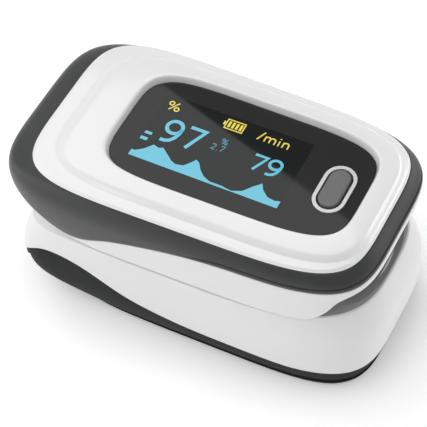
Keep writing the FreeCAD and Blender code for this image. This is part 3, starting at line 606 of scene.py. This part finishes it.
# The pulse trace: across, and height above the lit area's lower edge.
PULSE = [(0.0, 0.085), (0.025, 0.085), (0.07, 0.150), (0.11, 0.245), (0.15, 0.225), (0.175, 0.250),
         (0.21, 0.20), (0.265, 0.12), (0.30, 0.092), (0.35, 0.11), (0.38, 0.18), (0.405, 0.25),
         (0.43, 0.22), (0.46, 0.14), (0.50, 0.07), (0.55, 0.03), (0.63, 0.03), (0.70, 0.012), (0.76, 0.06),
         (0.805, 0.17), (0.845, 0.25), (0.87, 0.17), (0.915, 0.10), (0.965, 0.085), (1.0, 0.105)]


def screen_point(across, down, lift):
    """A point of the lit area; across and down run from 0 to 1, from its upper left corner."""
    return Vector((SCREEN_CENTRE.x + (across - 0.5) * SCREEN_SIZE[0],
                   (0.5 - down) * SCREEN_SIZE[1],
                   WINDOW_TOP + lift))


def ribbon(points, width):
    """Four-cornered patches along a line; the width is a share of the lit area's height."""
    aspect = SCREEN_SIZE[0] / SCREEN_SIZE[1]
    line = np.array([(u * aspect, v) for u, v in points])
    closed = np.allclose(line[0], line[-1])
    leg = np.diff(line, axis=0)
    leg /= np.linalg.norm(leg, axis=1)[:, None]
    before = np.vstack([leg[-1:] if closed else leg[:1], leg])
    after = np.vstack([leg, leg[:1] if closed else leg[-1:]])
    turn = before + after
    turn /= np.linalg.norm(turn, axis=1)[:, None]
    widen = 1.0 / np.clip((turn * before).sum(axis=1), MITRE_LIMIT, 1.0)
    side = np.stack([-turn[:, 1], turn[:, 0]], axis=1) * (width / 2.0) * widen[:, None]
    left = (line + side) / (aspect, 1.0)
    right = (line - side) / (aspect, 1.0)
    return [(left[i], left[i + 1], right[i + 1], right[i]) for i in range(len(line) - 1)]


def sign(mark, across, down, wide, tall, width):
    """Patches of one sign whose box has this corner and size."""
    patches = []
    for stroke in SIGNS[mark]:
        patches += ribbon([(across + x * wide, down + y * tall) for x, y in stroke], width)
    return patches


def rectangle(left, top, right, low):
    return [(left, top), (left, low), (right, low), (right, top)]


def lit_piece(name, patches, look, lift):
    """Thin plates on the window, one for each patch."""
    mesh = bpy.data.meshes.new(name)
    build = bmesh.new()
    for patch in patches:
        build.faces.new([build.verts.new(screen_point(u, v, lift)) for u, v in patch])
    bmesh.ops.remove_doubles(build, verts=list(build.verts), dist=1e-8)
    top = list(build.faces)
    for face in top:
        face.normal_update()
        if face.normal.z < 0.0:
            face.normal_flip()
    made = bmesh.ops.extrude_face_region(build, geom=top)["geom"]
    raised = [item for item in made if isinstance(item, bmesh.types.BMVert)]
    bmesh.ops.translate(build, verts=raised, vec=(0, 0, lift * PLATE_SHARE))
    bmesh.ops.recalc_face_normals(build, faces=list(build.faces))
    bmesh.ops.triangulate(build, faces=list(build.faces))
    build.to_mesh(mesh)
    build.free()
    piece = bpy.data.objects.new(name, mesh)
    bpy.context.scene.collection.objects.link(piece)
    mesh.materials.append(look)
    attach(piece, "upper_half")
    return piece


def make_display():
    """Generic readings: two numbers, unit marks, a battery, a strength mark, and the pulse trace."""
    lit_piece("screen_area", [rectangle(0.0, 0.0, 1.0, 1.0)], SCREEN_DARK, SCREEN_LIFT)

    numbers = sign("9", 0.105, 0.32, 0.120, 0.34, THICK) + sign("7", 0.250, 0.33, 0.120, 0.33, THICK)
    numbers += sign("7", 0.705, 0.39, 0.095, 0.23, MEDIUM) + sign("9", 0.812, 0.38, 0.090, 0.24, MEDIUM)
    numbers += [rectangle(0.010, 0.600, 0.058, 0.640), rectangle(0.004, 0.690, 0.052, 0.735)]
    lit_piece("reading_numbers", numbers, LIT_CYAN, SIGN_LIFT)

    small = sign("%", 0.478, 0.34, 0.040, SMALL_TALL, FINE)
    for mark, across, wide in (("2", 0.435, 0.030), (".", 0.468, 0.020), ("7", 0.492, 0.030)):
        small += sign(mark, across, 0.45, wide, SMALL_TALL, FINE)
    lit_piece("reading_small", small, DIM_CYAN, SIGN_LIFT)

    units = sign("%", 0.040, 0.075, 0.080, 0.130, THIN)
    per_minute = [("/", 0.655, 0.045), ("m", 0.705, 0.075), ("i", 0.788, 0.025), ("n", 0.822, 0.050)]
    for mark, across, wide in per_minute:
        units += sign(mark, across, 0.065, wide, 0.130, THIN)
    lit_piece("reading_units", units, LIT_YELLOW, SIGN_LIFT)

    left, top, right, low = 0.438, 0.055, 0.556, 0.190
    battery = ribbon([(left, top), (left, low), (right, low), (right, top), (left, top)], BATTERY_LINE)
    battery += [rectangle(left - 0.018, 0.095, left - 0.006, 0.150)]
    for bar in range(BATTERY_BARS):
        start = left + BAR_IN + BAR_PITCH * bar
        battery.append(rectangle(start, top + BAR_DOWN, start + BAR_WIDE, low - BAR_DOWN))
    lit_piece("reading_battery", battery, LIT_YELLOW, SIGN_LIFT)

    trace = [((a, 1.0 - rise_a), (a, 1.0), (b, 1.0), (b, 1.0 - rise_b))
             for (a, rise_a), (b, rise_b) in zip(PULSE, PULSE[1:])]
    lit_piece("reading_pulse", trace, LIT_CYAN, SIGN_LIFT)


make_display()


# ---------------------------------------------------------------- stage, light and camera

FLOOR_HALF = 3.0
OVERHEAD_HEIGHT = 0.331
OVERHEAD_EDGE = (-0.1817, 0.2106), (-0.0815, 0.1793)      # two places on the box's edge
OVERHEAD_SIZE = (0.80, 0.46)
OVERHEAD_SHIFT = 0.10                         # along its edge
OVERHEAD_RADIANCE = 1.60
LOW_SIZE = (0.12, 0.45)
LEFT_PLACE, LEFT_RADIANCE = (-0.36, -0.30, 0.066), 3.0
RIGHT_PLACE, RIGHT_RADIANCE = (0.33, 0.36, 0.066), 4.0
AIM_HEIGHT = 0.015
FLOOR_GLOW = 0.25
SKY_LOW, SKY_HIGH = 0.85, 0.16                # tone at the horizon, and from this height up
SKY_HIGH_FROM = 0.7
SKY_NEAR, SKY_FAR = (-0.9, 0.05), (0.6, 0.75)     # direction along Y, and the sky's strength there


def make_stage():
    mesh = bpy.data.meshes.new("floor")
    half = FLOOR_HALF
    corners = [(-half, -half, 0), (half, -half, 0), (half, half, 0), (-half, half, 0)]
    mesh.from_pydata(corners, [], [(0, 1, 2, 3)])
    floor = bpy.data.objects.new("floor", mesh)
    bpy.context.scene.collection.objects.link(floor)
    paint = moulded("floor_paint", (0.93, 0.93, 0.93), 0.9, grain=300.0, grain_depth=0.0, mottle=0.004,
                    specular=0.1)
    shader = paint.node_tree.nodes["Principled BSDF"]
    shader.inputs["Emission Color"].default_value = (1.0, 1.0, 1.0, 1.0)
    shader.inputs["Emission Strength"].default_value = FLOOR_GLOW
    mesh.materials.append(paint)


def softbox(name, centre, aim, along, size, radiance):
    """A soft rectangular light. along is the direction of its first side."""
    data = bpy.data.lights.new(name, "AREA")
    data.shape = "RECTANGLE"
    data.size, data.size_y = size
    data.energy = radiance * size[0] * size[1] * math.pi
    back = (Vector(centre) - Vector(aim)).normalized()
    first = (Vector(along) - back * Vector(along).dot(back)).normalized()
    second = back.cross(first)
    lamp = bpy.data.objects.new(name, data)
    lamp.matrix_world = Matrix.Translation(centre) @ Matrix((first, second, back)).transposed().to_4x4()
    bpy.context.scene.collection.objects.link(lamp)
    return lamp


def make_world():
    """Dim sky that is brighter low down and on the far side."""
    world = bpy.data.worlds.new("studio")
    bpy.context.scene.world = world
    world.use_nodes = True
    tree = world.node_tree
    background = tree.nodes["Background"]
    place = node(tree, "ShaderNodeTexCoord")
    parts = node(tree, "ShaderNodeSeparateXYZ")
    ramp = node(tree, "ShaderNodeValToRGB")
    low, high = ramp.color_ramp.elements
    low.position, low.color = 0.0, (SKY_LOW, SKY_LOW, SKY_LOW, 1.0)
    high.position, high.color = SKY_HIGH_FROM, (SKY_HIGH, SKY_HIGH, SKY_HIGH, 1.0)
    tree.links.new(place.outputs["Generated"], parts.inputs[0])
    tree.links.new(parts.outputs["Z"], ramp.inputs["Fac"])
    tree.links.new(ramp.outputs["Color"], background.inputs["Color"])
    fade = node(tree, "ShaderNodeMapRange")
    fade.inputs["From Min"].default_value, fade.inputs["To Min"].default_value = SKY_NEAR
    fade.inputs["From Max"].default_value, fade.inputs["To Max"].default_value = SKY_FAR
    tree.links.new(parts.outputs["Y"], fade.inputs["Value"])
    tree.links.new(fade.outputs["Result"], background.inputs["Strength"])


def make_lights():
    # The overhead box ends on the line that shows as the straight edge of the gloss on the window.
    edge_a, edge_b = (Vector((*place, OVERHEAD_HEIGHT)) for place in OVERHEAD_EDGE)
    along = (edge_b - edge_a).normalized()
    inward = Vector((along.y, -along.x, 0.0))
    centre = (edge_a + edge_b) * 0.5 + along * OVERHEAD_SHIFT + inward * OVERHEAD_SIZE[1] * 0.5
    softbox("overhead_box", centre, centre - Vector((0, 0, 1)), along, OVERHEAD_SIZE, OVERHEAD_RADIANCE)

    # Two low boxes light the near side and the front; the corner between them faces neither.
    middle, upright = (0.0, 0.0, AIM_HEIGHT), (0.0, 0.0, 1.0)
    softbox("left_box", LEFT_PLACE, middle, upright, LOW_SIZE, LEFT_RADIANCE)
    softbox("right_box", RIGHT_PLACE, middle, upright, LOW_SIZE, RIGHT_RADIANCE)


def make_camera():
    data = bpy.data.cameras.new("camera")
    data.sensor_width = 36.0
    data.lens = 118.03
    data.clip_start, data.clip_end = 0.005, 20.0
    camera = bpy.data.objects.new("camera", data)
    bpy.context.scene.collection.objects.link(camera)
    right = Vector((0.87205, 0.47377, -0.12275))
    up = Vector((-0.32778, 0.75163, 0.57238))
    back = Vector((0.36344, -0.45892, 0.81075))
    turn = Matrix((right, up, back)).transposed().to_4x4()
    camera.matrix_world = Matrix.Translation((0.069401, -0.089559, 0.172850)) @ turn
    bpy.context.scene.camera = camera


make_stage()
make_world()
make_lights()
make_camera()
bpy.context.scene.view_settings.view_transform = "Standard"
